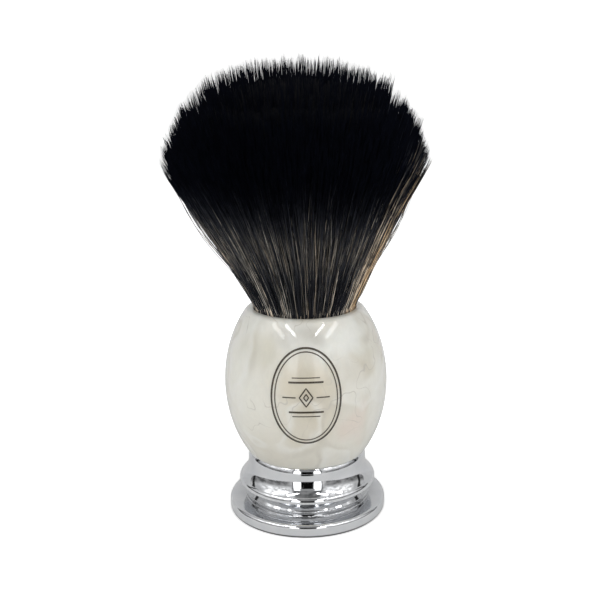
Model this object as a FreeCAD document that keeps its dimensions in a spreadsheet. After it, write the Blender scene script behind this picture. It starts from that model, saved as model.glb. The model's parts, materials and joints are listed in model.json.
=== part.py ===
# Shaving brush: a two-piece chromed base with a fixed stud, a barrel-shaped
# resin handle that screws onto the stud, and a bonded synthetic-fibre knot.
# Millimetres, +Z up, origin at the centre of the underside of the base.
import FreeCAD, Part
import math
import os
import Sketcher

V = FreeCAD.Vector
doc = FreeCAD.newDocument("ShavingBrush")

# ---------------------------------------------------------------- dimensions
# alias, value, what it measures; a height is measured from the underside of the base
SIZES = [
    # lower base piece
    ("foot_radius", 19.05, "outer radius of the foot"),
    ("foot_edge_break", 0.6, "bottom edge round of the foot"),
    ("foot_wall_top", 2.3, "top of the foot's straight outer wall"),
    ("foot_shoulder_radius", 18.15, "inner end of the foot's shoulder round"),
    ("foot_top", 3.1, "height of the foot's upper face at its outer end"),
    ("foot_rise", 3.36, "height of the foot's upper face at the neck"),
    ("foot_shoulder_arc", 0.9, "radius of the shoulder round"),
    ("neck_fillet", 0.23, "fillet where the neck meets the foot"),
    ("neck_radius", 15.12, "radius of the foot's neck"),
    ("neck_flare_low", 3.87, "where the foot's neck starts to flare"),
    ("neck_flare_top", 4.35, "top of the flare"),
    ("neck_flare_radius", 15.36, "radius at the top of the flare"),
    ("neck_crest", 15.26, "radius where the neck meets the upper piece"),
    ("parting_height", 4.45, "height where the two base pieces meet"),
    ("pad_radius", 17.0, "radius of the foot pad"),
    ("pad_height", 0.95, "thickness of the foot pad"),
    ("pad_break", 0.15, "bottom edge break of the foot pad"),
    ("pad_recess_radius", 17.1, "radius of the recess for the pad"),
    ("pad_recess_height", 1.0, "depth of the recess for the pad"),
    ("foot_cavity_radius", 12.5, "radius of the cavity over the pad"),
    ("foot_cavity_top", 2.6, "top of that cavity, where the stud head seats"),
    ("stud_clearance_radius", 3.2, "hole for the stud in both base pieces"),
    ("register_radius", 9.0, "raised register on the foot"),
    ("register_top", 5.05, "top of the register"),
    ("register_gap", 0.1, "clearance round and over the register"),
    # upper base piece
    ("bead_radius", 15.41, "radius of the bead over the parting line"),
    ("bead_break", 0.15, "round under the bead"),
    ("bead_arc", 0.15, "round over the bead"),
    ("bead_shoulder", 4.68, "where the bead starts to round over"),
    ("bead_top", 4.83, "top of the bead"),
    ("bead_crest", 15.3, "radius at the top of the bead"),
    ("groove_radius", 14.3, "least radius of the groove under the lip"),
    ("groove_low", 5.95, "foot of the groove, where the bead's sloping top ends"),
    ("groove_high", 14.45, "radius of the groove where it meets the lip"),
    ("lip_under", 7.08, "underside of the lip"),
    ("lip_radius", 16.6, "outer radius of the lip"),
    ("lip_break", 0.25, "round on the lip's lower edge"),
    ("lip_low", 7.35, "bottom of the lip's straight edge"),
    ("lip_high", 7.7, "top of the lip's straight edge"),
    ("cove_radius", 16.0, "outer radius of the cove"),
    ("cove_height", 8.6, "height of the cove's outer end"),
    ("lip_arc", 1.25, "round on the lip's upper edge"),
    ("cove_arc", 6.0, "radius of the cove"),
    ("collar_radius", 14.3, "outer radius of the collar wall"),
    ("collar_low", 11.85, "bottom of the collar wall"),
    ("collar_high", 13.2, "top of the collar's straight wall"),
    ("collar_top", 14.9, "top of the collar"),
    ("collar_crest", 13.6, "radius of the collar's crest"),
    ("collar_mouth", 13.4, "inner radius at the top of the collar"),
    ("collar_arc", 2.41, "round on the collar's rim"),
    ("cup_radius", 13.1, "bore of the cup"),
    ("cup_chamfer_low", 14.4, "where the cup's inner chamfer ends"),
    ("cup_floor", 6.6, "height of the cup's floor"),
    # stud, washer, nut
    ("seat_gap", 0.02, "gap over the stud's head, under the washer and under the nut"),
    ("head_radius", 5.0, "radius of the stud's head"),
    ("head_low", 1.15, "underside of the stud's head"),
    ("head_break", 0.25, "bottom edge break of the stud's head"),
    ("drive_depth", 0.75, "depth of the hexagon drive"),
    ("drive_flats", 3.0, "hexagon drive across flats"),
    ("stud_radius", 3.0, "major radius of the stud's thread"),
    ("stud_core", 2.46, "minor radius of the stud's thread"),
    ("stud_top", 19.5, "top of the stud"),
    ("thread_low", 5.6, "start of the stud's thread"),
    ("thread_taper", 0.6, "height of the taper from shank to core"),
    ("thread_pitch", 1.0, "pitch of the thread"),
    ("thread_short", 1.3, "how much shorter the helix is than the threaded core"),
    ("ridge_sink", 0.06, "depth of the thread ridge's root inside the core"),
    ("ridge_middle", 0.35, "middle of the first ridge above the thread's start"),
    ("ridge_root_half", 0.42, "half width of the ridge at its root"),
    ("ridge_tip_half", 0.07, "half width of the ridge at its tip"),
    ("washer_outer", 5.6, "outer radius of the lock washer"),
    ("washer_inner", 3.1, "inner radius of the lock washer"),
    ("washer_thick", 0.9, "top of the lock washer above the cup's floor"),
    ("washer_split", 0.6, "gap in the lock washer"),
    ("slit_inner", 2.5, "inner end of the cut for that gap"),
    ("slit_outer", 6.5, "outer end of the cut for that gap"),
    ("nut_flats", 10.0, "nut across flats"),
    ("nut_height", 3.0, "height of the nut"),
    ("nut_bore", 3.05, "bore of the nut"),
    ("nut_cone_inset", 0.05, "start of the nut's edge cones inside the flats"),
    ("nut_cone_reach", 1.15, "end of the edge cones outside the flats"),
    ("nut_cone_drop", 0.675, "height of each edge cone"),
    ("nut_cone_clear", 0.3, "reach of the cone cuts beyond the nut's faces"),
    # seal ring
    ("seal_inner", 7.6, "inner radius of the seal ring"),
    ("seal_outer", 12.6, "outer radius of the seal ring"),
    ("seal_low", 6.65, "underside of the seal ring"),
    ("seal_high", 7.95, "top of the seal ring"),
    ("seal_round", 0.2, "corner rounds of the seal ring"),
    # handle
    ("bulb_radius", 19.4, "largest radius of the handle"),
    ("bulb_middle", 32.3, "height of the handle's largest radius"),
    ("bulb_half", 25.4, "half height of the ellipse behind the barrel"),
    ("bulb_low", 15.1, "bottom of the handle's visible barrel"),
    ("bulb_high", 49.7, "top of the barrel curve"),
    ("spigot_radius", 13.0, "radius of the spigot in the cup"),
    ("spigot_shoulder", 14.95, "height of the spigot's shoulder"),
    ("seat_radius", 13.85, "outer radius of the flat over the collar"),
    ("spigot_low", 8.0, "bottom of the spigot"),
    ("spigot_break", 0.4, "edge break of the spigot"),
    ("nut_well_radius", 6.6, "well in the spigot that clears the nut"),
    ("nut_well_top", 11.3, "top of that well"),
    ("insert_pocket_radius", 4.65, "pocket for the threaded insert"),
    ("insert_pocket_top", 21.0, "top of the insert's pocket"),
    ("rim_top", 50.3, "top of the handle's rim"),
    ("rim_outer", 12.95, "radius where the rim's round ends"),
    ("rim_arc", 1.44, "round outside the rim"),
    ("rim_inner", 12.35, "radius where the rim's inner round starts"),
    ("rim_inner_arc", 0.3, "round inside the rim"),
    ("mouth_radius", 12.05, "radius of the knot socket"),
    ("socket_floor", 30.0, "floor of the knot socket"),
    # insert
    ("insert_radius", 4.6, "radius of the insert over its knurls"),
    ("insert_edge_break", 0.35, "outer edge break of the insert"),
    ("insert_groove", 4.05, "radius of the insert's middle groove"),
    ("insert_groove_floor", 0.5, "half width of that groove at its floor"),
    ("insert_groove_mouth", 0.7, "half width of that groove at its mouth"),
    ("insert_bore", 3.05, "bore of the insert"),
    ("insert_bore_break", 0.3, "edge break of the bore"),
    ("insert_low", 11.5, "bottom of the insert"),
    ("insert_high", 20.5, "top of the insert"),
    ("flute_radius", 0.22, "radius of one knurl flute"),
    ("flute_count", 24, "knurl flutes round the insert"),
    # knot
    ("glue_outer", 12.0, "outer radius of the socket adhesive"),
    ("glue_inner", 11.65, "inner radius of the socket adhesive"),
    ("glue_low", 30.05, "bottom of the socket adhesive"),
    ("glue_floor", 30.95, "top of the adhesive under the plug"),
    ("glue_high", 36.5, "top of the socket adhesive"),
    ("glue_slope", 0.25, "fall of the adhesive's top towards the plug"),
    ("plug_outer", 11.6, "outer radius of the knot's resin plug"),
    ("plug_inner", 11.05, "inner radius of the plug's cup"),
    ("plug_low", 31.0, "bottom of the plug"),
    ("plug_corner", 0.8, "width and height of the plug's bottom corner"),
    ("plug_corner_arc", 0.85, "radius of that corner"),
    ("plug_floor", 33.0, "floor of the plug's cup"),
    ("plug_high", 36.3, "top of the plug"),
    ("root_radius", 11.0, "radius of the bound fibres in the plug"),
    ("root_low", 33.05, "bottom of the bound fibres"),
    ("root_waist", 42.5, "where the fibres start to open"),
    ("root_mouth", 11.9, "radius of the fibres at the handle's mouth"),
    ("root_spread", 48.0, "where the fibres fill the mouth"),
    ("dome_radius", 12.4, "ball surface between the fixed and the free fibres"),
    ("flex_height", 50.0, "height the free fibres bend about"),
    ("cord_radius", 0.24, "radius of the binding cord"),
    ("cord_pitch", 0.52, "pitch of the binding cord"),
    ("cord_turns", 6.0, "turns of the binding cord"),
    ("cord_low", 37.4, "start of the binding cord"),
    ("cord_line", 11.28, "radius of the cord's centre line"),
    # free fibres
    ("tuft_ball", 12.7, "hollow ball surface under the free fibres"),
    ("tuft_root_angle", 22.0, "degrees above the mouth where the free fibres start"),
    ("tuft_edge_radius", 15.3, "outer radius of the free fibres' lower edge"),
    ("tuft_edge_height", 56.18, "height of that edge"),
    ("tuft_radius", 29.4, "largest radius of the tuft"),
    ("tuft_shoulder", 84.0, "height of the tuft's largest radius"),
    ("tuft_shoulder_arc", 18.7, "radius of the arc over the shoulder"),
    ("crown_radius", 22.0, "radius where the crown's flatter arc takes over"),
    ("crown_height", 100.0, "height of that edge"),
    ("tuft_top", 106.8, "top of the tuft"),
]


class Size:
    """A number together with the spreadsheet expression it comes from."""

    def __init__(self, value, text):
        self.value = float(value)
        self.text = text

    @staticmethod
    def of(other):
        return other if isinstance(other, Size) else Size(other, repr(float(other)))

    def join(self, sign, other, work):
        other = Size.of(other)
        return Size(work(self.value, other.value),
                    "(%s %s %s)" % (self.text, sign, other.text))

    def __add__(self, other):
        return self.join("+", other, lambda a, b: a + b)

    def __sub__(self, other):
        return self.join("-", other, lambda a, b: a - b)

    def __mul__(self, other):
        return self.join("*", other, lambda a, b: a * b)

    def __truediv__(self, other):
        return self.join("/", other, lambda a, b: a / b)


class SizeNames:
    """Sizes by name, such as size.foot_radius."""


size = SizeNames()
sheet = doc.addObject("Spreadsheet::Sheet", "Sizes")
for row, (alias, value, note) in enumerate(SIZES, start=1):
    sheet.set("A%d" % row, alias)
    sheet.set("B%d" % row, str(value))
    sheet.set("C%d" % row, note)
    sheet.setAlias("B%d" % row, alias)
    setattr(size, alias, Size(value, "Sizes." + alias))
doc.recompute()

# heights that several pieces share
washer_low = size.cup_floor + size.seat_gap
washer_top = size.cup_floor + size.washer_thick
nut_low = washer_top + size.seat_gap
nut_top = nut_low + size.nut_height

# ------------------------------------------------------------ sketch helpers
# Sketcher's numbers for the points of a piece and for the sketch's own axes
START, END, CENTRE = 1, 2, 3
LEVEL_AXIS, UPRIGHT_AXIS = -1, -2
ORIGIN = (LEVEL_AXIS, START)

# the way an arc turns along the walk round a profile
LEFT, RIGHT = 1, -1


def new_body(name):
    body = doc.addObject("PartDesign::Body", name + "_body")
    body.Label = name
    return body


def new_sketch(body, name, plane="XZ_Plane"):
    sketch = body.newObject("Sketcher::SketchObject", name)
    support = [item for item in body.Origin.OriginFeatures if item.Role == plane][0]
    sketch.AttachmentSupport = [(support, "")]
    sketch.MapMode = "FlatFace"
    return sketch


def constrain(sketch, kind, *where):
    return sketch.addConstraint(Sketcher.Constraint(kind, *where))


def dimension(sketch, name, length, kind, *where):
    """Adds a named constraint and ties it to the spreadsheet."""
    index = constrain(sketch, kind, *where, length.value)
    sketch.renameConstraint(index, name)
    sketch.setExpression("Constraints." + name, length.text)


def pin(sketch, piece, end, number, radius, height):
    """Fixes one end of a piece; a radius of None is left free."""
    for letter, kind, axis, length in (("r", "DistanceX", UPRIGHT_AXIS, radius),
                                       ("z", "DistanceY", LEVEL_AXIS, height)):
        if length is None:
            continue
        length = Size.of(length)
        if length.value == 0.0:
            constrain(sketch, "PointOnObject", piece, end, axis)
        else:
            dimension(sketch, "%s%d" % (letter, number), length, kind, *ORIGIN, piece, end)


def spot(point):
    return V(Size.of(point[0]).value, Size.of(point[1]).value, 0)


def draw_step(sketch, point, following):
    """Draws the line or the arc that leads from a profile point to the next."""
    here, there = spot(point), spot(following)
    if len(point) == 2:
        sketch.addGeometry(Part.LineSegment(here, there), False)
        return
    radius, sense = Size.of(point[2]).value, point[3]
    half = (there - here).Length / 2.0
    rise = math.sqrt(radius * radius - half * half)
    along = (there - here).normalize()
    left = V(-along.y, along.x, 0)
    centre = (here + there) * 0.5 + left * (rise * sense)
    # an arc is stored counter-clockwise, so one that turns right starts at its far end
    first, last = (here, there) if sense == LEFT else (there, here)
    first_angle = math.atan2(first.y - centre.y, first.x - centre.x)
    last_angle = math.atan2(last.y - centre.y, last.x - centre.x)
    if last_angle < first_angle:
        last_angle += 2 * math.pi
    circle = Part.Circle(centre, V(0, 0, 1), radius)
    sketch.addGeometry(Part.ArcOfCircle(circle, first_angle, last_angle), False)


def half_section(body, name, points):
    """A closed profile in the XZ plane. points holds (radius, height) or
    (radius, height, arc radius, sense), where the arc runs to the next point."""
    sketch = new_sketch(body, name)
    count = len(points)
    for i, point in enumerate(points):
        draw_step(sketch, point, points[(i + 1) % count])
    starts = [END if len(point) > 2 and point[3] == RIGHT else START for point in points]
    for i in range(count):
        following = (i + 1) % count
        far_end = END if starts[i] == START else START
        constrain(sketch, "Coincident", i, far_end, following, starts[following])
    for i, point in enumerate(points):
        pin(sketch, i, starts[i], i, point[0], point[1])
        if len(point) > 2:
            dimension(sketch, "arc%d" % i, Size.of(point[2]), "Radius", i)
    return sketch


def draw_polygon(sketch, corners):
    count = len(corners)
    for i in range(count):
        sketch.addGeometry(Part.LineSegment(corners[i], corners[(i + 1) % count]), False)
    for i in range(count):
        constrain(sketch, "Coincident", i, END, (i + 1) % count, START)


def hexagon(body, name, flats, height, bore=None):
    """A hexagon at a height, with one corner on +X and, if asked, a round bore."""
    sketch = new_sketch(body, name, "XY_Plane")
    corner = flats / math.sqrt(3.0)
    angles = [math.radians(60 * i) for i in range(6)]
    draw_polygon(sketch, [V(corner.value * math.cos(angle), corner.value * math.sin(angle), 0)
                          for angle in angles])
    rim, hole = 6, 7
    sketch.addGeometry(Part.Circle(V(0, 0, 0), V(0, 0, 1), corner.value), True)
    for i in range(6):
        constrain(sketch, "PointOnObject", i, START, rim)
    for i in range(5):
        constrain(sketch, "Equal", i, i + 1)
    constrain(sketch, "Coincident", rim, CENTRE, *ORIGIN)
    constrain(sketch, "PointOnObject", 0, START, LEVEL_AXIS)
    dimension(sketch, "corner", corner, "Radius", rim)
    if bore is not None:
        sketch.addGeometry(Part.Circle(V(0, 0, 0), V(0, 0, 1), bore.value), False)
        constrain(sketch, "Coincident", hole, CENTRE, *ORIGIN)
        dimension(sketch, "bore", bore, "Radius", hole)
    sketch.setExpression("AttachmentOffset.Base.z", height.text)
    doc.recompute()
    return sketch


# ----------------------------------------------------------- feature helpers
def check_cut(body, feature, before):
    """A cut that takes nothing away is a mistake, so the volume is compared."""
    doc.recompute()
    if not body.Shape.Volume < before - 1e-3:
        raise RuntimeError("%s removes nothing" % feature.Label)


def revolve(body, sketch, name, kind="PartDesign::Revolution"):
    feature = body.newObject(kind, name)
    feature.Profile = sketch
    feature.ReferenceAxis = (sketch, ["V_Axis"])
    feature.Angle = 360.0
    sketch.Visibility = False
    doc.recompute()
    return feature


def turn(body, sketch_name, name, points):
    revolve(body, half_section(body, sketch_name, points), name)


def turn_away(body, sketch_name, name, points):
    sketch = half_section(body, sketch_name, points)
    before = body.Shape.Volume
    check_cut(body, revolve(body, sketch, name, "PartDesign::Groove"), before)


def pocket(body, sketch, name, depth=None):
    """Cuts upwards from the sketch to a depth, or both ways right through."""
    doc.recompute()
    before = body.Shape.Volume
    feature = body.newObject("PartDesign::Pocket", name)
    feature.Profile = sketch
    if depth is None:
        feature.Type = "ThroughAll"
        feature.SideType = "Symmetric"
    else:
        feature.Reversed = True
        feature.setExpression("Length", depth.text)
    check_cut(body, feature, before)
    return feature


# ---------------------------------------------------------------------- base
def make_foot():
    """Lower base piece, with the pad recess below and the register on top."""
    foot = new_body("foot_flange")
    turn(foot, "foot_section", "foot_turned", [
        (size.pad_recess_radius, 0),
        (size.foot_radius - size.foot_edge_break, 0, size.foot_edge_break, LEFT),
        (size.foot_radius, size.foot_edge_break),
        (size.foot_radius, size.foot_wall_top, size.foot_shoulder_arc, LEFT),
        (size.foot_shoulder_radius, size.foot_top),
        (size.neck_radius + size.neck_fillet, size.foot_rise, size.neck_fillet, RIGHT),
        (size.neck_radius, size.foot_rise + size.neck_fillet),
        (size.neck_radius, size.neck_flare_low),
        (size.neck_flare_radius, size.neck_flare_top),
        (size.neck_crest, size.parting_height),
        (size.register_radius, size.parting_height),
        (size.register_radius, size.register_top),
        (size.stud_clearance_radius, size.register_top),
        (size.stud_clearance_radius, size.foot_cavity_top),
        (size.foot_cavity_radius, size.foot_cavity_top),
        (size.foot_cavity_radius, size.pad_recess_height),
        (size.pad_recess_radius, size.pad_recess_height),
    ])
    return foot


def make_collar():
    """Upper base piece: bead, groove, lip and cove outside, the cup inside."""
    collar = new_body("collar_cup")
    register_wall = size.register_radius + size.register_gap
    register_roof = size.register_top + size.register_gap
    turn(collar, "collar_section", "collar_turned", [
        (register_wall, size.parting_height),
        (size.bead_radius - size.bead_break, size.parting_height, size.bead_break, LEFT),
        (size.bead_radius, size.parting_height + size.bead_break),
        (size.bead_radius, size.bead_shoulder, size.bead_arc, LEFT),
        (size.bead_crest, size.bead_top),
        (size.groove_radius, size.groove_low),
        (size.groove_high, size.lip_under),
        (size.lip_radius - size.lip_break, size.lip_under, size.lip_break, LEFT),
        (size.lip_radius, size.lip_low),
        (size.lip_radius, size.lip_high, size.lip_arc, LEFT),
        (size.cove_radius, size.cove_height, size.cove_arc, RIGHT),
        (size.collar_radius, size.collar_low),
        (size.collar_radius, size.collar_high, size.collar_arc, LEFT),
        (size.collar_crest, size.collar_top),
        (size.collar_mouth, size.collar_top),
        (size.cup_radius, size.cup_chamfer_low),
        (size.cup_radius, size.cup_floor),
        (size.stud_clearance_radius, size.cup_floor),
        (size.stud_clearance_radius, register_roof),
        (register_wall, register_roof),
    ])
    return collar


def make_stud():
    """Headed stud with a hexagon drive in the underside of its head."""
    stud = new_body("base_stud")
    head_top = size.foot_cavity_top - size.seat_gap
    turn(stud, "stud_section", "stud_turned", [
        (0, size.head_low),
        (size.head_radius - size.head_break, size.head_low),
        (size.head_radius, size.head_low + size.head_break),
        (size.head_radius, head_top),
        (size.stud_radius, head_top),
        (size.stud_radius, size.thread_low - size.thread_taper),
        (size.stud_core, size.thread_low),
        (size.stud_core, size.stud_top),
        (0, size.stud_top),
    ])
    outline = hexagon(stud, "drive_hexagon", size.drive_flats, size.head_low)
    pocket(stud, outline, "hexagon_drive", size.drive_depth)

    # the thread stands on the core as one right-handed ridge
    root = size.stud_core - size.ridge_sink
    middle = size.thread_low + size.ridge_middle
    ridge = half_section(stud, "thread_ridge", [
        (root, middle - size.ridge_root_half),
        (root, middle + size.ridge_root_half),
        (size.stud_radius, middle + size.ridge_tip_half),
        (size.stud_radius, middle - size.ridge_tip_half),
    ])
    doc.recompute()
    thread = stud.newObject("PartDesign::AdditiveHelix", "thread")
    thread.Profile = ridge
    thread.ReferenceAxis = (ridge, ["V_Axis"])
    thread.Mode = 0  # set by pitch and height
    thread.setExpression("Pitch", size.thread_pitch.text)
    thread.setExpression("Height", (size.stud_top - size.thread_low - size.thread_short).text)
    doc.recompute()
    return stud


def make_washer():
    """Lock washer on the cup's floor, split on its +X side."""
    washer = new_body("lock_washer")
    turn(washer, "washer_section", "washer_turned", [
        (size.washer_inner, washer_low),
        (size.washer_outer, washer_low),
        (size.washer_outer, washer_top),
        (size.washer_inner, washer_top),
    ])
    split = new_sketch(washer, "washer_split_line", "XY_Plane")
    inner, outer = size.slit_inner.value, size.slit_outer.value
    half = size.washer_split.value / 2
    draw_polygon(split, [V(inner, -half, 0), V(outer, -half, 0),
                         V(outer, half, 0), V(inner, half, 0)])
    constrain(split, "Horizontal", 0)
    constrain(split, "Horizontal", 2)
    constrain(split, "Vertical", 1)
    dimension(split, "inner", size.slit_inner, "DistanceX", *ORIGIN, 0, START)
    dimension(split, "outer", size.slit_outer, "DistanceX", *ORIGIN, 1, START)
    constrain(split, "Symmetric", 0, START, 3, START, LEVEL_AXIS)
    dimension(split, "gap", size.washer_split, "DistanceY", 1, START, 1, END)
    pocket(washer, split, "washer_slit")
    return washer


def make_nut():
    nut = new_body("lock_nut")
    outline = hexagon(nut, "nut_hexagon", size.nut_flats, nut_low, size.nut_bore)
    blank = nut.newObject("PartDesign::Pad", "nut_blank")
    blank.Profile = outline
    blank.setExpression("Length", size.nut_height.text)
    doc.recompute()
    # both faces of the nut are turned to a shallow cone, so only the corners break
    inner = size.nut_flats / 2 - size.nut_cone_inset
    outer = size.nut_flats / 2 + size.nut_cone_reach
    turn_away(nut, "nut_top_cone", "nut_top_break", [
        (inner, nut_top + size.nut_cone_clear),
        (inner, nut_top),
        (outer, nut_top - size.nut_cone_drop),
        (outer, nut_top + size.nut_cone_clear),
    ])
    turn_away(nut, "nut_low_cone", "nut_low_break", [
        (inner, nut_low - size.nut_cone_clear),
        (outer, nut_low - size.nut_cone_clear),
        (outer, nut_low + size.nut_cone_drop),
        (inner, nut_low),
    ])
    return nut


def make_foot_pad():
    cushion = new_body("foot_pad")
    turn(cushion, "pad_section", "pad_disc", [
        (0, 0),
        (size.pad_radius - size.pad_break, 0),
        (size.pad_radius, size.pad_break),
        (size.pad_radius, size.pad_height),
        (0, size.pad_height),
    ])
    return cushion


def make_seal():
    """Flat ring with four rounded corners, just over the cup's floor."""
    seal = new_body("seal_ring")
    corner = size.seal_round
    turn(seal, "seal_section", "seal_moulded", [
        (size.seal_inner + corner, size.seal_low),
        (size.seal_outer - corner, size.seal_low, corner, LEFT),
        (size.seal_outer, size.seal_low + corner),
        (size.seal_outer, size.seal_high - corner, corner, LEFT),
        (size.seal_outer - corner, size.seal_high),
        (size.seal_inner + corner, size.seal_high, corner, LEFT),
        (size.seal_inner, size.seal_high - corner),
        (size.seal_inner, size.seal_low + corner, corner, LEFT),
    ])
    return seal


# -------------------------------------------------------------------- handle
def barrel_radius(height):
    """Radius of the barrel's ellipse at a height."""
    share = (height.value - size.bulb_middle.value) / size.bulb_half.value
    return size.bulb_radius.value * math.sqrt(1.0 - share * share)


def make_handle():
    """Resin handle: its barrel is an arc of an upright ellipse centred on the axis."""
    handle = new_body("resin_handle")
    section = new_sketch(handle, "handle_section")
    # the walk goes over the rim, down the socket and the axis, then round the spigot
    walk = [
        (barrel_radius(size.bulb_high), size.bulb_high, size.rim_arc, LEFT),
        (size.rim_outer, size.rim_top),
        (size.rim_inner, size.rim_top, size.rim_inner_arc, LEFT),
        (size.mouth_radius, size.rim_top - size.rim_inner_arc),
        (size.mouth_radius, size.socket_floor),
        (0, size.socket_floor),
        (0, size.insert_pocket_top),
        (size.insert_pocket_radius, size.insert_pocket_top),
        (size.insert_pocket_radius, size.nut_well_top),
        (size.nut_well_radius, size.nut_well_top),
        (size.nut_well_radius, size.spigot_low),
        (size.spigot_radius - size.spigot_break, size.spigot_low),
        (size.spigot_radius, size.spigot_low + size.spigot_break),
        (size.spigot_radius, size.spigot_shoulder),
        (size.seat_radius, size.spigot_shoulder),
        (barrel_radius(size.bulb_low), size.bulb_low),
    ]
    barrel = len(walk) - 1
    for i in range(barrel):
        draw_step(section, walk[i], walk[i + 1])

    # the barrel closes the walk from its last point up to its first
    middle = size.bulb_middle.value
    ellipse = Part.Ellipse(V(0, middle + size.bulb_half.value, 0),
                           V(-size.bulb_radius.value, middle, 0),
                           V(0, middle, 0))
    low_end = ellipse.parameter(spot(walk[-1]))
    high_end = ellipse.parameter(spot(walk[0]))
    if high_end < low_end:
        high_end += 2 * math.pi
    section.addGeometry(Part.ArcOfEllipse(ellipse, low_end, high_end), False)
    for i in range(len(walk)):
        constrain(section, "Coincident", i, END, (i + 1) % len(walk), START)

    section.exposeInternalGeometry(barrel)
    # internal geometry: the first line is the long axis, the second the short one
    long_axis, short_axis = [i for i, item in enumerate(section.Geometry)
                             if i > barrel and isinstance(item, Part.LineSegment)][:2]
    constrain(section, "PointOnObject", barrel, CENTRE, UPRIGHT_AXIS)
    constrain(section, "Vertical", long_axis)
    dimension(section, "bulb_middle", size.bulb_middle, "DistanceY", *ORIGIN, barrel, CENTRE)
    dimension(section, "bulb_height", size.bulb_half * 2, "Distance", long_axis)
    dimension(section, "bulb_width", size.bulb_radius * 2, "Distance", short_axis)
    for i, point in enumerate(walk):
        # the barrel's ends take their radius from the ellipse
        radius = None if i in (0, barrel) else point[0]
        pin(section, i, START, i, radius, point[1])
    dimension(section, "rim_arc", size.rim_arc, "Radius", 0)
    dimension(section, "rim_inner_arc", size.rim_inner_arc, "Radius", 2)
    doc.recompute()
    revolve(handle, section, "handle_turned")
    return handle


def make_insert():
    """Brass insert, fluted outside and grooved round its middle."""
    insert = new_body("threaded_insert")
    low, high = size.insert_low, size.insert_high
    middle = (low + high) / 2
    bore_edge, outer_edge = size.insert_bore_break, size.insert_edge_break
    turn(insert, "insert_section", "insert_turned", [
        (size.insert_bore, low + bore_edge),
        (size.insert_bore + bore_edge, low),
        (size.insert_radius - outer_edge, low),
        (size.insert_radius, low + outer_edge),
        (size.insert_radius, middle - size.insert_groove_mouth),
        (size.insert_groove, middle - size.insert_groove_floor),
        (size.insert_groove, middle + size.insert_groove_floor),
        (size.insert_radius, middle + size.insert_groove_mouth),
        (size.insert_radius, high - outer_edge),
        (size.insert_radius - outer_edge, high),
        (size.insert_bore + bore_edge, high),
        (size.insert_bore, high - bore_edge),
    ])
    flute = new_sketch(insert, "knurl_flute", "XY_Plane")
    flute.addGeometry(Part.Circle(V(size.insert_radius.value, 0, 0), V(0, 0, 1),
                                  size.flute_radius.value), False)
    constrain(flute, "PointOnObject", 0, CENTRE, LEVEL_AXIS)
    dimension(flute, "reach", size.insert_radius, "DistanceX", *ORIGIN, 0, CENTRE)
    dimension(flute, "size", size.flute_radius, "Radius", 0)
    first_flute = pocket(insert, flute, "knurl_cut")
    pattern = insert.newObject("PartDesign::PolarPattern", "knurl")
    pattern.Originals = [first_flute]
    pattern.Axis = (flute, ["N_Axis"])
    pattern.Angle = 360.0
    pattern.setExpression("Occurrences", size.flute_count.text)
    insert.Tip = pattern
    doc.recompute()
    return insert


# ---------------------------------------------------------------------- knot
def make_glue():
    """Cup of adhesive between the socket and the plug."""
    glue = new_body("socket_adhesive")
    turn(glue, "glue_section", "glue_bed", [
        (0, size.glue_low),
        (size.glue_outer, size.glue_low),
        (size.glue_outer, size.glue_high),
        (size.glue_inner, size.glue_high - size.glue_slope),
        (size.glue_inner, size.glue_floor),
        (0, size.glue_floor),
    ])
    return glue


def make_plug():
    """Resin cup that holds the bound fibres."""
    plug = new_body("knot_plug")
    turn(plug, "plug_section", "plug_cast", [
        (0, size.plug_low),
        (size.plug_outer - size.plug_corner, size.plug_low, size.plug_corner_arc, LEFT),
        (size.plug_outer, size.plug_low + size.plug_corner),
        (size.plug_outer, size.plug_high),
        (size.plug_inner, size.plug_high),
        (size.plug_inner, size.plug_floor),
        (0, size.plug_floor),
    ])
    return plug


def make_root():
    """Fixed fibres, from the plug up to a domed end."""
    root = new_body("bristle_root")
    dome_side = Size(math.sqrt(size.dome_radius.value ** 2 - size.root_mouth.value ** 2),
                     "sqrt(Sizes.dome_radius ^ 2 - Sizes.root_mouth ^ 2)")
    turn(root, "root_section", "root_bundle", [
        (0, size.root_low),
        (size.root_radius, size.root_low),
        (size.root_radius, size.root_waist),
        (size.root_mouth, size.root_spread),
        (size.root_mouth, size.flex_height + dome_side, size.dome_radius, LEFT),
        (0, size.flex_height + size.dome_radius),
    ])
    return root


def make_cord():
    """Binding cord: close turns round the bound fibres, over the plug."""
    path = doc.addObject("Part::Helix", "cord_path")
    path.setExpression("Pitch", size.cord_pitch.text)
    path.setExpression("Height", (size.cord_pitch * size.cord_turns).text)
    path.setExpression("Radius", size.cord_line.text)
    path.setExpression("Placement.Base.z", size.cord_low.text)
    # the cord's round section stands upright at the start of the path
    section = doc.addObject("Part::Circle", "cord_round")
    section.setExpression("Radius", size.cord_radius.text)
    section.Placement = FreeCAD.Placement(V(size.cord_line.value, 0, size.cord_low.value),
                                          FreeCAD.Rotation(V(1, 0, 0), 90))
    section.setExpression("Placement.Base.x", size.cord_line.text)
    section.setExpression("Placement.Base.z", size.cord_low.text)
    doc.recompute()
    cord = doc.addObject("Part::Sweep", "cord_sweep")
    cord.Sections = [section]
    cord.Spine = (path, ["Edge%d" % (i + 1) for i in range(len(path.Shape.Edges))])
    cord.Solid = True
    cord.Frenet = True
    cord.Label = "binding_cord"
    doc.recompute()
    return cord


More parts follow.
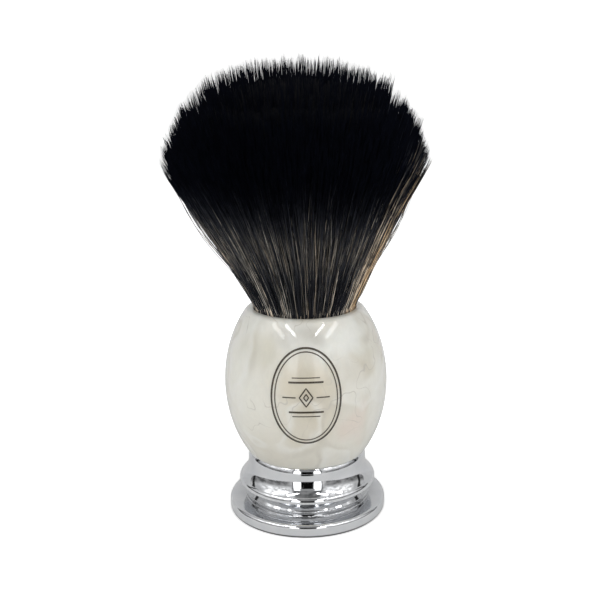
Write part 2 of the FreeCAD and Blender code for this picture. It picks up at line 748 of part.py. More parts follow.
def make_tuft():
    """Free fibres, hollow below where they clear the root's dome."""
    tuft = new_body("bristle_tuft")
    lean = math.radians(size.tuft_root_angle.value)
    ball_side = size.tuft_ball * Size(math.cos(lean), "cos(Sizes.tuft_root_angle * 1 deg)")
    ball_rise = size.tuft_ball * Size(math.sin(lean), "sin(Sizes.tuft_root_angle * 1 deg)")
    # the crown's arc is level at the axis, which fixes its radius
    crown_rise = size.tuft_top - size.crown_height
    crown_arc = ((size.crown_radius * size.crown_radius + crown_rise * crown_rise)
                 / (crown_rise * 2))
    turn(tuft, "tuft_section", "tuft_solid", [
        (0, size.flex_height + size.tuft_ball, size.tuft_ball, RIGHT),
        (ball_side, size.flex_height + ball_rise),
        (size.tuft_edge_radius, size.tuft_edge_height),
        (size.tuft_radius, size.tuft_shoulder, size.tuft_shoulder_arc, LEFT),
        (size.crown_radius, size.crown_height, crown_arc, LEFT),
        (0, size.tuft_top),
    ])
    return tuft


# --------------------------------------------------- build, check and export
pieces = [
    make_foot(),
    make_collar(),
    make_stud(),
    make_washer(),
    make_nut(),
    make_foot_pad(),
    make_seal(),
    make_handle(),
    make_insert(),
    make_glue(),
    make_plug(),
    make_root(),
    make_cord(),
    make_tuft(),
]

doc.recompute()
for item in doc.Objects:
    if "Invalid" in item.State or "Error" in item.State:
        raise RuntimeError("%s (%s) failed: %s" % (item.Name, item.Label, item.State))
for piece in pieces:
    shape = piece.Shape
    if shape.isNull() or not shape.isValid() or not shape.Solids:
        raise RuntimeError("%s has no valid solid" % piece.Label)

os.makedirs("parts", exist_ok=True)
for piece in pieces:
    piece.Shape.exportStep(os.path.join("parts", piece.Label + ".step"))
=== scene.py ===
"""A brush with a marbled barrel handle on a chrome base, its bristles spreading upward.

It stands upright on the floor, z = 0, with the handle's axis on the Z axis. The front
faces -Y, towards the camera, and +X is to the right. The brush and its textures are
measured in millimetres, the stage and the lights in metres.
"""

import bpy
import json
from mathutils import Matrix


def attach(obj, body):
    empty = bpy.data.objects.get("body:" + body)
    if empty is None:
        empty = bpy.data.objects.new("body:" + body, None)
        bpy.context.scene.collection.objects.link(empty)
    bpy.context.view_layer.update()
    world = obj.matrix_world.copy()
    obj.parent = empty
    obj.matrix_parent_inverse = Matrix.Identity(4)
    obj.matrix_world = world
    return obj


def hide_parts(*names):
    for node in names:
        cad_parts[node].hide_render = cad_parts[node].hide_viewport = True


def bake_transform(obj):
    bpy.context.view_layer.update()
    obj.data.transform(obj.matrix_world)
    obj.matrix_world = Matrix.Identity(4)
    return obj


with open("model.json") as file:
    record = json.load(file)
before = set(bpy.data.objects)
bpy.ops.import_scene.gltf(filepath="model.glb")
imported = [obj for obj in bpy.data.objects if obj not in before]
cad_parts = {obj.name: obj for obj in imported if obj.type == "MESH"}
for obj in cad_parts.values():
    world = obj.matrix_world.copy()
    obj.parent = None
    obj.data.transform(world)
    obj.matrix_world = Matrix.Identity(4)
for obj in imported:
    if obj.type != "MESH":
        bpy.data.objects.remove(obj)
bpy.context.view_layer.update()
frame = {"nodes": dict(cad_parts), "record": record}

import json
import math

import bmesh
import bpy
import numpy as np
from mathutils import Matrix, Vector

SEED = 4207
MM = 0.001
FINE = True
scene = bpy.context.scene


# ------------------------------------------------------------- node helpers
def feed(target, value):
    """Link an output socket to an input, or set the input's own value."""
    if isinstance(value, bpy.types.NodeSocket):
        target.id_data.links.new(value, target)
    else:
        target.default_value = value


class Graph:
    """A node tree. Its methods add nodes and mostly return an output socket."""

    def __init__(self, tree):
        self.tree = tree

    def node(self, kind, inputs=None, **settings):
        """Add a node. inputs maps input names or numbers to values or sockets."""
        node = self.tree.nodes.new(kind)
        for key, value in settings.items():
            setattr(node, key, value)
        for key, value in (inputs or {}).items():
            feed(node.inputs[key], value)
        return node

    def calc(self, operation, *values):
        node = self.node("ShaderNodeMath", dict(enumerate(values)), operation=operation)
        return node.outputs[0]

    def vector(self, operation, inputs, out="Vector"):
        return self.node("ShaderNodeVectorMath", inputs, operation=operation).outputs[out]

    def remap(self, value, start=0.0, end=1.0, low=0.0, high=1.0, curve="LINEAR"):
        """Carry the range start..end over to low..high."""
        return self.node("ShaderNodeMapRange", {
            "Value": value, "From Min": start, "From Max": end, "To Min": low, "To Max": high,
        }, interpolation_type=curve).outputs["Result"]

    def noise(self, place, scale, detail, rough=0.5, distort=0.0, out="Fac"):
        inputs = {"Scale": scale, "Detail": detail, "Roughness": rough, "Distortion": distort}
        if place is not None:
            inputs["Vector"] = place
        return self.node("ShaderNodeTexNoise", inputs).outputs[out]


class Look(Graph):
    """A material's node tree, ending in one Principled surface."""

    def __init__(self, name):
        self.material = bpy.data.materials.new(name)
        self.material.use_nodes = True
        super().__init__(self.material.node_tree)
        self.tree.nodes.clear()
        output = self.node("ShaderNodeOutputMaterial")
        self.shader = self.node("ShaderNodeBsdfPrincipled")
        feed(output.inputs["Surface"], self.shader.outputs["BSDF"])

    def surface(self, **values):
        """Set or link the shader's inputs, with _ for each space in their names."""
        for key, value in values.items():
            feed(self.shader.inputs[key.replace("_", " ")], value)

    def coords(self, scale=(1, 1, 1), rotate=(0, 0, 0), shift=(0, 0, 0)):
        """The place of each point in its own object, in millimetres."""
        return self.node("ShaderNodeMapping", {
            "Vector": self.node("ShaderNodeTexCoord").outputs["Object"],
            "Scale": [1000 * s for s in scale], "Rotation": rotate, "Location": shift,
        }).outputs["Vector"]

    def attribute(self, name):
        return self.node("ShaderNodeAttribute", attribute_name=name).outputs["Fac"]

    def ramp(self, source, stops, interpolation="LINEAR"):
        """A colour ramp. Each stop is a place and a colour or a grey level."""
        node = self.node("ShaderNodeValToRGB", {"Fac": source})
        node.color_ramp.interpolation = interpolation
        elements = node.color_ramp.elements
        while len(elements) < len(stops):
            elements.new(0.5)
        for element, (place, colour) in zip(elements, stops):
            if isinstance(colour, (int, float)):
                colour = (colour, colour, colour)
            element.position = place
            element.color = (*colour, 1.0)
        return node.outputs["Color"]

    def mix(self, factor, first, second, blend="MIX"):
        """Mix two colours, each a socket or a plain tuple."""
        node = self.node("ShaderNodeMix", data_type="RGBA", blend_type=blend)
        feed(node.inputs[0], factor)
        for number, colour in ((6, first), (7, second)):
            feed(node.inputs[number], (*colour, 1.0) if isinstance(colour, tuple) else colour)
        return node.outputs[2]

    def bump(self, height, strength, distance):
        node = self.node("ShaderNodeBump", {
            "Strength": strength, "Distance": distance, "Height": height})
        self.surface(Normal=node.outputs["Normal"])


# ---------------------------------------------------------------- materials
# patches of tone on the front of the handle, one of them a painted shadow: centre, half size,
# colour, strength
RESIN_PATCHES = [
    # warm beige in the middle, paler round it
    ((0.0, -19.0, 32.0), (19.0, 14.0, 24.0), (0.835, 0.815, 0.755), 0.85),
    ((-16.0, -12.0, 30.0), (9.0, 12.0, 16.0), (0.875, 0.87, 0.815), 0.8),
    ((0.5, -20.0, 36.0), (8.5, 9.0, 9.0), (0.725, 0.665, 0.545), 0.85),
    ((0.0, -19.0, 27.0), (8.0, 9.0, 9.0), (0.755, 0.71, 0.61), 0.7),
    # along the top, pearl white on the right; in the middle just below the mouth, a painted
    # shadow of the bristles
    ((-11.0, -15.0, 44.0), (8.0, 8.0, 4.5), (0.72, 0.70, 0.61), 0.65),
    ((8.0, -15.0, 46.0), (7.5, 8.0, 5.0), (0.90, 0.915, 0.89), 0.9),
    # painted shadow: this darker patch stands for the shade the bristles cast below the mouth
    ((-1.0, -15.0, 47.0), (9.0, 7.0, 4.5), (0.66, 0.655, 0.625), 0.75),
    # down the right-hand side
    ((11.5, -16.0, 38.0), (4.2, 6.0, 3.4), (0.68, 0.635, 0.54), 0.75),
    ((10.5, -15.0, 26.5), (5.0, 7.0, 7.0), (0.83, 0.745, 0.685), 0.75),
    ((16.5, -9.0, 33.0), (4.0, 7.0, 12.0), (0.905, 0.91, 0.88), 0.7),
]


def marbled_resin():
    look = Look("pearl_resin")
    place = look.coords()

    def stirred(scale, amount, shift):
        """Places pushed about by slow noise, so that a pattern reading them swirls."""
        warp = look.noise(look.coords(shift=shift), scale=scale, detail=2.0, out="Color")
        push = look.vector("SUBTRACT", {0: warp, 1: (0.5, 0.5, 0.5)})
        swirl = look.vector("SCALE", {0: push, "Scale": amount})
        return look.vector("ADD", {0: place, 1: swirl})

    slow = stirred(scale=0.045, amount=34.0, shift=(3.0, 7.0, 2.0))
    quick = stirred(scale=0.11, amount=9.0, shift=(11.0, 2.0, 5.0))
    cloud = look.ramp(look.noise(slow, scale=0.045, detail=2.0, rough=0.4), [
        (0.30, (0.70, 0.665, 0.585)), (0.42, (0.77, 0.745, 0.67)), (0.52, (0.84, 0.83, 0.775)),
        (0.62, (0.875, 0.875, 0.84)), (0.75, (0.81, 0.79, 0.75))], "EASE")
    tone = look.mix(0.0, cloud, (0.8, 0.8, 0.8))
    for centre, size, colour, strength in RESIN_PATCHES:
        away = look.vector("SUBTRACT", {0: quick, 1: centre})
        scaled = look.vector("DIVIDE", {0: away, 1: size})
        far = look.vector("LENGTH", {0: scaled}, out="Value")
        cover = look.remap(far, start=1.15, end=0.25, high=strength, curve="SMOOTHERSTEP")
        tone = look.mix(cover, tone, colour)

    # wisps where two swirls meet: soft grey folds in some places, pearly white ones
    folds = look.noise(slow, scale=0.07, detail=1.0, rough=0.3)
    dark = look.ramp(folds, [(0.41, 0.0), (0.478, 0.42), (0.53, 0.05), (0.60, 0.0)], "EASE")
    pale = look.ramp(folds, [(0.485, 0.0), (0.54, 0.45), (0.64, 0.0), (1.0, 0.0)], "EASE")
    fold_area = look.ramp(
        look.noise(look.coords(shift=(30.0, 4.0, 0.0)), scale=0.055, detail=1.0),
        [(0.44, 0.0), (0.62, 1.0)])
    tone = look.mix(look.calc("MULTIPLY", dark, fold_area), tone, (0.63, 0.605, 0.545))
    tone = look.mix(pale, tone, (0.925, 0.93, 0.915))

    # short thin veins, in some places only
    swirls = stirred(scale=0.09, amount=16.0, shift=(5.0, 9.0, 14.0))
    vein = look.ramp(look.noise(swirls, scale=0.16, detail=1.0, rough=0.3),
                     [(0.487, 0.0), (0.5, 0.7), (0.513, 0.0), (1.0, 0.0)], "EASE")
    vein_area = look.ramp(
        look.noise(look.coords(shift=(0.0, 17.0, 6.0)), scale=0.06, detail=1.0),
        [(0.50, 0.0), (0.60, 1.0)])
    tone = look.mix(look.calc("MULTIPLY", vein, vein_area), tone, (0.60, 0.575, 0.53))

    # a fine silky shimmer, as of pearl flakes, then a slight warm tint
    silk = look.noise(look.coords(scale=(1.0, 1.0, 0.6), rotate=(0.3, 0.4, 0.0)),
                      scale=0.45, detail=3.0, rough=0.6, distort=1.5)
    sheen = look.ramp(silk, [(0.35, 0.975), (0.65, 1.01)])
    tone = look.mix(1.0, tone, sheen, "MULTIPLY")
    tone = look.mix(1.0, tone, (1.0, 0.992, 0.955), "MULTIPLY")
    rough = look.ramp(look.noise(look.coords(), scale=0.12, detail=3.0),
                      [(0.3, 0.30), (0.7, 0.40)])
    look.surface(Base_Color=tone, Roughness=rough, IOR=1.5, Specular_IOR_Level=0.25,
                 Coat_Weight=1.0, Coat_Roughness=0.035, Subsurface_Weight=0.22,
                 Subsurface_Radius=(1.0, 0.85, 0.7), Subsurface_Scale=0.0025)
    ripple = look.noise(look.coords(), scale=0.3, detail=2.0, rough=0.4)
    look.bump(ripple, strength=0.04, distance=0.0002)
    return look.material


def chrome():
    look = Look("mirror_chrome")
    place = look.coords()
    tone = look.ramp(look.noise(place, scale=0.25, detail=3.0, rough=0.55),
                     [(0.35, (0.80, 0.815, 0.84)), (0.65, (0.87, 0.88, 0.895))])
    # painted shade: darker in the groove of the neck, where shade falls, and a dark line along
    # the bottom edge standing in for the shadowed floor it mirrors; stops span 15 mm
    split = look.node("ShaderNodeSeparateXYZ", {"Vector": look.coords()})
    shade = look.ramp(look.calc("DIVIDE", split.outputs["Z"], 15.0), [
        (0.0, 0.10), (0.030, 0.16), (0.048, 0.92), (0.20, 0.97), (0.226, 0.70),
        (0.30, 0.80), (0.46, 0.66), (0.475, 0.97), (0.60, 0.96), (1.0, 0.93)])
    # faint turning marks round the axis
    turned = look.noise(look.coords(scale=(0.02, 0.02, 1.0)), scale=6.0, detail=2.0)
    look.surface(Base_Color=look.mix(1.0, tone, shade, "MULTIPLY"),
                 Roughness=look.ramp(turned, [(0.3, 0.045), (0.7, 0.07)]), Metallic=1.0)
    look.bump(look.noise(place, scale=0.22, detail=1.0, rough=0.4),
              strength=0.06, distance=0.0003)
    return look.material


def turned_metal(name, dark, pale, rough_low, rough_high):
    look = Look(name)
    turned = look.noise(look.coords(scale=(0.05, 0.05, 1.0)), scale=7.0, detail=3.0, rough=0.6)
    blur = look.noise(look.coords(), scale=0.8, detail=3.0, rough=0.6)
    look.surface(Base_Color=look.ramp(turned, [(0.3, dark), (0.7, pale)]),
                 Roughness=look.ramp(blur, [(0.3, rough_low), (0.7, rough_high)]),
                 Metallic=1.0)
    look.bump(turned, strength=0.15, distance=0.00005)
    return look.material


def rubber(name, dark, pale):
    look = Look(name)
    grain = look.noise(look.coords(), scale=3.0, detail=4.0, rough=0.65)
    blur = look.noise(look.coords(), scale=0.5, detail=2.0)
    look.surface(Base_Color=look.ramp(grain, [(0.3, dark), (0.7, pale)]),
                 Roughness=look.ramp(blur, [(0.3, 0.6), (0.7, 0.8)]))
    look.bump(grain, strength=0.5, distance=0.0001)
    return look.material


def cast(name, dark, pale, rough_low, rough_high, coat=0.0):
    look = Look(name)
    cloud = look.noise(look.coords(), scale=0.35, detail=4.0, rough=0.6)
    blur = look.noise(look.coords(), scale=1.2, detail=2.0)
    look.surface(Base_Color=look.ramp(cloud, [(0.3, dark), (0.7, pale)]),
                 Roughness=look.ramp(blur, [(0.3, rough_low), (0.7, rough_high)]),
                 Coat_Weight=coat)
    look.bump(cloud, strength=0.3, distance=0.0002)
    return look.material


def cord():
    look = Look("waxed_cord")
    twist = look.node("ShaderNodeTexWave", {
        "Vector": look.coords(), "Scale": 1.6, "Distortion": 2.0, "Detail": 3.0,
    }, bands_direction="DIAGONAL").outputs["Fac"]
    tone = look.ramp(twist, [(0.2, (0.52, 0.47, 0.38)), (0.8, (0.80, 0.75, 0.66))])
    look.surface(Base_Color=tone, Roughness=0.8)
    look.bump(twist, strength=0.6, distance=0.0001)
    return look.material


def fibre():
    look = Look("dark_fibre")
    along = look.attribute("along")
    # each fibre has its own tone, from blue-black to pale grey or golden brown
    tone = look.ramp(look.attribute("light"), [
        (0.0, (0.0022, 0.0029, 0.0062)), (0.12, (0.0180, 0.0200, 0.0270)),
        (0.30, (0.047, 0.050, 0.061)), (0.60, (0.25, 0.238, 0.215)),
        (1.0, (0.95, 0.91, 0.83))])
    brown = look.mix(1.0, tone, (1.05, 0.76, 0.47), "MULTIPLY")
    # warm holds each fibre's own golden tint and, on the right, painted light shining through
    # the fibres
    tinted = look.mix(look.attribute("warm"), tone, brown)
    # glints come and go along a fibre
    fine = look.noise(look.coords(scale=(1.0, 1.0, 0.35)), scale=0.9, detail=3.0, rough=0.6)
    glints = look.ramp(fine, [(0.32, 0.55), (0.66, 1.4)])
    look.surface(
        Base_Color=look.mix(1.0, tinted, glints, "MULTIPLY"),
        Roughness=look.ramp(along, [(0.35, 0.38), (0.8, 0.65)]),
        Specular_IOR_Level=look.ramp(along, [(0.25, 0.22), (0.60, 0.20), (0.85, 0.03)]),
        IOR=1.45)
    return look.material


def core_fibre():
    look = Look("packed_fibre")
    streak = look.noise(look.coords(scale=(1.0, 1.0, 0.06)), scale=2.5, detail=3.0, rough=0.6)
    tone = look.ramp(streak, [(0.35, (0.0015, 0.0015, 0.002)), (0.7, (0.007, 0.007, 0.008))])
    look.surface(Base_Color=tone, Roughness=0.9, Specular_IOR_Level=0.1)
    look.bump(streak, strength=0.8, distance=0.0004)
    return look.material


def ink():
    look = Look("printed_ink")
    speck = look.noise(look.coords(), scale=1.4, detail=3.0, rough=0.6)
    tone = look.ramp(speck, [(0.3, (0.052, 0.042, 0.028)), (0.7, (0.085, 0.070, 0.050))])
    look.surface(Base_Color=tone, Roughness=look.ramp(speck, [(0.3, 0.3), (0.7, 0.45)]),
                 Coat_Weight=0.4, Coat_Roughness=0.08)
    return look.material


looks = {
    "handle_resin": marbled_resin(),
    "base_chrome": chrome(),
    "stud_steel": turned_metal("zinc_steel", dark=(0.50, 0.51, 0.53), pale=(0.68, 0.69, 0.71),
                               rough_low=0.25, rough_high=0.40),
    "nut_steel": turned_metal("nut_zinc", dark=(0.54, 0.53, 0.50), pale=(0.72, 0.71, 0.68),
                              rough_low=0.28, rough_high=0.42),
    "insert_brass": turned_metal("turned_brass", dark=(0.60, 0.43, 0.17),
                                 pale=(0.80, 0.62, 0.30), rough_low=0.22, rough_high=0.36),
    "pad_rubber": rubber("black_rubber", dark=(0.016, 0.016, 0.018),
                         pale=(0.035, 0.035, 0.038)),
    "seal_rubber": rubber("seal_rubber", dark=(0.03, 0.03, 0.032), pale=(0.055, 0.055, 0.06)),
    "adhesive": cast("epoxy", dark=(0.66, 0.60, 0.46), pale=(0.80, 0.76, 0.66),
                     rough_low=0.12, rough_high=0.25, coat=0.5),
    "plug_resin": cast("dark_cast_resin", dark=(0.05, 0.042, 0.035),
                       pale=(0.12, 0.10, 0.085), rough_low=0.35, rough_high=0.55),
    "cord": cord(),
    "fibre_root": core_fibre(),
    "fibre_tuft": fibre(),
}

node_slot = {part["node"]: part["material_slot"] for part in frame["record"]["subparts"]}
for name, obj in frame["nodes"].items():
    material = looks[node_slot[name]]
    if not obj.data.materials:
        obj.data.materials.append(material)
    for k in range(len(obj.data.materials)):
        obj.data.materials[k] = material


def place_mesh(name, mesh, material):
    mesh.materials.append(material)
    obj = bpy.data.objects.new(name, mesh)
    scene.collection.objects.link(obj)
    return obj


def mesh_object(name, points, faces, material, soft=True):
    """A mesh from points in metres, shaded smooth if soft."""
    mesh = bpy.data.meshes.new(name)
    mesh.from_pydata(points, [], faces)
    mesh.update()
    if soft:
        mesh.polygons.foreach_set("use_smooth", [True] * len(mesh.polygons))
    return place_mesh(name, mesh, material)


# --------------------------------------------------------------- the bristles
# outside of the tuft: height, radius. First the flank, carried on past the rim.
FLANK = np.array([
    (30, 11.2), (44, 11.35), (48, 11.55), (50, 11.8), (52.5, 12.6), (55, 13.6), (60, 16.1),
    (65, 18.7), (70, 21.4), (75, 24.2), (79, 26.6), (82, 28.3), (84.5, 29.5), (110.0, 39.5)])
# then the crown, from the rim to the top: height, radius
CROWN = np.array([
    (84.0, 29.5), (87.0, 29.1), (90.0, 28.2), (93.5, 26.8), (97.0, 25.0), (100.0, 22.8),
    (102.5, 19.9), (104.5, 15.8), (106.0, 10.6), (107.0, 0.0)])
# the dark packed middle, from the bottom up: height, radius
CORE = [
    (33.1, 10.9), (37.0, 10.95), (43.0, 10.9), (47.0, 10.9), (49.0, 10.6), (51.5, 10.4),
    (55.0, 11.3), (60.0, 13.4), (65.0, 15.7), (70.0, 18.0), (75.0, 20.4), (80.0, 22.6),
    (83.5, 24.6), (87.2, 24.8), (91.6, 23.2), (95.6, 20.8), (98.8, 17.6), (101.2, 12.8),
    (102.5, 6.5)]
CORE_TOP = 102.9
CORE_SEGMENTS = 48
MOUTH = 50          # height where the fibres leave the handle
FIBRE_START = 43.0  # height of every fibre's lower end
LEAN, LEAN_RISE = -1.6, 32.0  # the tuft's shift to the left, and the height it takes
FIBRE_SIDES = 3
CLUMPS = 2300


def smooth(value):
    value = np.clip(value, 0, 1)
    return value * value * (3 - 2 * value)


def flank(z):
    return np.interp(z, *FLANK.T)


def lean_x(z):
    """The tuft stands a little to the left of the handle's axis."""
    return LEAN * smooth((z - MOUTH) / LEAN_RISE)


# where a fibre that keeps a fixed share of the flank's radius meets the crown
meet_z = np.linspace(CROWN[0, 0], CROWN[-1, 0], 400)
meet_share = np.interp(meet_z, *CROWN.T) / flank(meet_z)
order = np.argsort(meet_share)
meet_share, meet_z = meet_share[order], meet_z[order]

# the tips stand in small clumps, each with its own height and outward splay
clump_rng = np.random.default_rng(SEED)
clump_share = np.sqrt(clump_rng.uniform(0, 1, CLUMPS))
clump_angle = clump_rng.uniform(0, 2 * math.pi, CLUMPS)
clump_x = clump_share * np.cos(clump_angle)
clump_y = clump_share * np.sin(clump_angle)
clump_top = (clump_rng.normal(0, 0.55, CLUMPS)
             + 0.14 * np.sin(5.0 * clump_angle + 3.0 * clump_share) * clump_share)
clump_splay = clump_rng.normal(0.010, 0.017, CLUMPS)


def fibre_paths(rng, share, angle, length, bow, steps):
    """Middle lines of the fibres, with their angles round the axis and how far up each
    point is from the mouth (0) to the tip (1)."""
    count = len(share)
    x, y = share * np.cos(angle), share * np.sin(angle)
    near = np.argmin((x[:, None] - clump_x[None, :]) ** 2
                     + (y[:, None] - clump_y[None, :]) ** 2, axis=1)
    pull = rng.uniform(0.3, 0.8, count) * np.where(share > 1.0, 0.3, 1.0)
    # towards the rim the tips splay, each clump by its own amount
    splay = 1.0 + smooth((share - 0.62) / 0.3) * (clump_splay[near]
                                                  + rng.normal(0.0, 0.010, count))
    tip_x = (x + pull * (clump_x[near] - x)) * splay + rng.normal(0, 0.008, count)
    tip_y = (y + pull * (clump_y[near] - y)) * splay + rng.normal(0, 0.008, count)
    meeting = np.interp(np.minimum(share, 1.0), meet_share, meet_z)
    top = (meeting + length + clump_top[near])[:, None]
    z = FIBRE_START + (top - FIBRE_START) * steps[None, :]
    along = np.clip((z - MOUTH) / (top - MOUTH), 0, 1)
    # each fibre moves from its own place to its tip's, wandering round a little
    wander = rng.normal(0, 0.03, count)[:, None] * along ** 1.3
    blend = along ** 2.2
    share_x = x[:, None] * (1 - blend) + tip_x[:, None] * blend - y[:, None] * wander
    share_y = y[:, None] * (1 - blend) + tip_y[:, None] * blend + x[:, None] * wander
    # below the mouth every fibre stays inside the bound root
    limit = 0.985 + 0.06 * smooth((z - 49.5) / 6.0)
    keep = np.minimum(1.0, limit / np.maximum(np.hypot(share_x, share_y), 1e-6))
    share_x, share_y = share_x * keep, share_y * keep
    # small waves in and out and from side to side, above the mouth
    fade = smooth((z - 48.5) / 7.0)
    phase = rng.uniform(0, 2 * math.pi, count)[:, None]
    crimp = rng.normal(0, 0.12, count)[:, None] * np.sin(z * 0.31 + phase) * fade
    swing = rng.normal(0, 0.12, count)[:, None] * np.sin(z * 0.27 + 2.1 * phase) * fade
    stand = bow[:, None] * np.sin(math.pi * np.clip((z - 56.0) / 27.0, 0, 1)) ** 2
    radius = np.hypot(share_x, share_y) * flank(z) + crimp + stand
    around = np.arctan2(share_y, share_x) + swing / np.maximum(radius, 3.0)
    path = np.stack([radius * np.cos(around) + lean_x(z), radius * np.sin(around), z], -1)
    return path, around, along


def tube_mesh(name, path, around, half):
    """Closed tubes of half width half about the paths, all in one mesh."""
    tangent = np.gradient(path, axis=1)
    tangent /= np.linalg.norm(tangent, axis=2, keepdims=True)
    across = np.stack([-np.sin(around), np.cos(around), np.zeros_like(around)], -1)
    across -= tangent * (across * tangent).sum(2, keepdims=True)
    across /= np.linalg.norm(across, axis=2, keepdims=True)
    outward = np.cross(across, tangent)
    sides = FIBRE_SIDES
    turn = (2 * math.pi * np.arange(sides) / sides)[None, None, :, None]
    corners = (path[:, :, None, :]
               + half[:, :, None, None] * (np.cos(turn) * outward[:, :, None, :]
                                           + np.sin(turn) * across[:, :, None, :]))
    points = corners.reshape(-1, 3) * MM

    count, rings = around.shape
    first = np.arange(count) * rings * sides
    ring = first[:, None, None] + np.arange(rings - 1)[None, :, None] * sides
    side = np.arange(sides)[None, None, :]
    here, beside = ring + side, ring + (side + 1) % sides
    quads = np.stack([here, beside, beside + sides, here + sides], -1).reshape(-1, 4)
    ends = np.arange(sides)
    low = first[:, None] + ends[::-1][None, :]
    high = (first + (rings - 1) * sides)[:, None] + ends[None, :]
    loops = np.concatenate([quads.ravel(), low.ravel(), high.ravel()])
    starts = np.concatenate([np.arange(len(quads)) * 4,
                             len(quads) * 4 + np.arange(2 * count) * sides])

    mesh = bpy.data.meshes.new(name)
    mesh.vertices.add(len(points))
    mesh.vertices.foreach_set("co", points.astype(np.float32).ravel())
    mesh.loops.add(len(loops))
    mesh.loops.foreach_set("vertex_index", loops.astype(np.int32))
    mesh.polygons.add(len(starts))
    mesh.polygons.foreach_set("loop_start", starts.astype(np.int32))
    mesh.update(calc_edges=True)
    mesh.validate()
    mesh.polygons.foreach_set("use_smooth", [True] * len(mesh.polygons))
    return mesh


def strands(name, rng, share, angle, length, width, light, reach, rings, bow):
    """Tapered tubes, one for each fibre. length is added to the height where the fibre
    meets the crown, reach is how far up it stays light, and bow stands it off the flank
    in the middle."""
    steps = np.linspace(0, 1, rings) ** 0.92
    path, around, along = fibre_paths(rng, share, angle, length, bow, steps)
    taper = np.clip((1.0 - steps) / 0.12, 0.0, 1.0) ** 0.7
    half = width[:, None] * 0.5 * (0.12 + 0.88 * taper[None, :])
    mesh = tube_mesh(name, path, around, half)

    # light low down, dark towards the crown, and never darker than a least tone
    count = len(share)
    shown = light[:, None] * (1 - smooth((along - reach[:, None] + 0.16) / 0.32))
    least = ((0.21 + 0.50 * rng.uniform(0.0, 1.0, count) ** 1.6)[:, None]
             * (1 - smooth((along - 0.50) / 0.38)))
    rising = np.interp(along, [0.0, 0.22, 0.44, 1.0], [0.10, 0.14, 1.0, 1.0])
    shown = np.maximum(shown, least * rising)
    # the light parts are more golden on the right: painted light, for light shining through the
    # fibres on that side; each fibre's own warmth also varies at random
    right = smooth((np.cos(around) - 0.70) / 0.25)
    golden = np.clip(0.16 + 0.55 * right + rng.uniform(-0.15, 0.35, count)[:, None], 0, 1)
    golden = golden * smooth((shown - 0.34) / 0.36)
    for label, values in (("light", shown), ("warm", golden), ("along", along)):
        item = mesh.attributes.new(label, "FLOAT", "POINT")
        item.data.foreach_set("value", np.repeat(values.ravel(), FIBRE_SIDES).astype(np.float32))
    return place_mesh(name, mesh, looks["fibre_tuft"])


def bundle(name, seed, count, sector, inner, outer, fringe=False):
    """Fibres in a sector (degrees, None for all round) between two shares of the radius.
    A fringe is of finer fibres of uneven length, some of them standing off the flank."""
    rng = np.random.default_rng(SEED + seed)
    share = np.sqrt(rng.uniform(inner ** 2, outer ** 2, count))
    if sector is None:
        angle = rng.uniform(0, 2 * math.pi, count)
    else:
        angle = np.radians(rng.uniform(*sector, count))
    # mostly a little short, more so towards the rim, with a few longer ones
    length = 0.5 - np.abs(rng.normal(0, 1.0, count)) * (1.0 + 0.7 * smooth((share - 0.6) / 0.4))
    length = np.where(rng.uniform(0, 1, count) < 0.12,
                      length + rng.uniform(0.4, 1.3, count), length)
    width = rng.uniform(0.13, 0.22, count)
    # light fibres are few, fewest at the front just left of the middle; more of them on the
    # right is painted light, for light shining through the fibres on that side
    right = smooth((np.cos(angle) - 0.62) / 0.3)
    left = smooth((-np.cos(angle) - 0.35) / 0.4)
    dull = np.exp(-((np.degrees(angle) % 360 - 262.0) / 11.0) ** 2)
    rank = rng.uniform(0, 1, count) + 0.22 * right + 0.05 * left - 0.05 * dull
    light = np.interp(rank, [0, 0.52, 0.72, 0.82, 0.90, 0.96, 1.15],
                      [0.05, 0.11, 0.24, 0.52, 0.88, 1.0, 1.0])
    # on the right, near the rim, the painted light reaches further up the fibres
    reach = (rng.uniform(0.26, 0.74, count) + 0.08 * left
             + 0.30 * right * smooth((share - 0.85) / 0.1))
    reach = np.where(rank > 0.91, reach + rng.uniform(0.0, 0.16, count), reach)
    reach = np.minimum(reach, 0.74 + 0.22 * right)
    if fringe:
        # its own widths and lengths, drawn after the common ones
        width = rng.uniform(0.10, 0.17, count)
        length = rng.uniform(-6.0, 1.4, count)
        stands = rng.uniform(0, 1, count) < 0.10
        bow = np.where(stands, rng.uniform(0.4, 1.9, count), 0.0)
        light = np.where(stands, light * 0.6, light)
        rings = 13
    else:
        # light fibres are thicker
        width = width * np.interp(rank, [0.0, 0.80, 0.90, 1.2], [0.95, 1.0, 1.35, 1.4])
        bow = np.zeros(count)
        rings = 10 if FINE else 7
    return strands(name, rng, share, angle, length, width, light, reach, rings, bow)


def bristle_core():
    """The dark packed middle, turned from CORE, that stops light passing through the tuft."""
    count = CORE_SEGMENTS
    points, faces = [(0.0, 0.0, CORE[0][0] * MM)], []
    for z, radius in CORE:
        shift = float(lean_x(z))
        for k in range(count):
            angle = 2 * math.pi * k / count
            points.append(((shift + radius * math.cos(angle)) * MM,
                           radius * math.sin(angle) * MM, z * MM))
    points.append((float(lean_x(CORE_TOP)) * MM, 0.0, CORE_TOP * MM))
    for k in range(count):
        faces.append((0, 1 + (k + 1) % count, 1 + k))
    for i in range(len(CORE) - 1):
        for k in range(count):
            here, beside = 1 + i * count + k, 1 + i * count + (k + 1) % count
            faces.append((here, beside, beside + count, here + count))
    last = 1 + (len(CORE) - 1) * count
    for k in range(count):
        faces.append((last + k, last + (k + 1) % count, len(points) - 1))
    return mesh_object("bristle_core", points, faces, looks["fibre_root"])


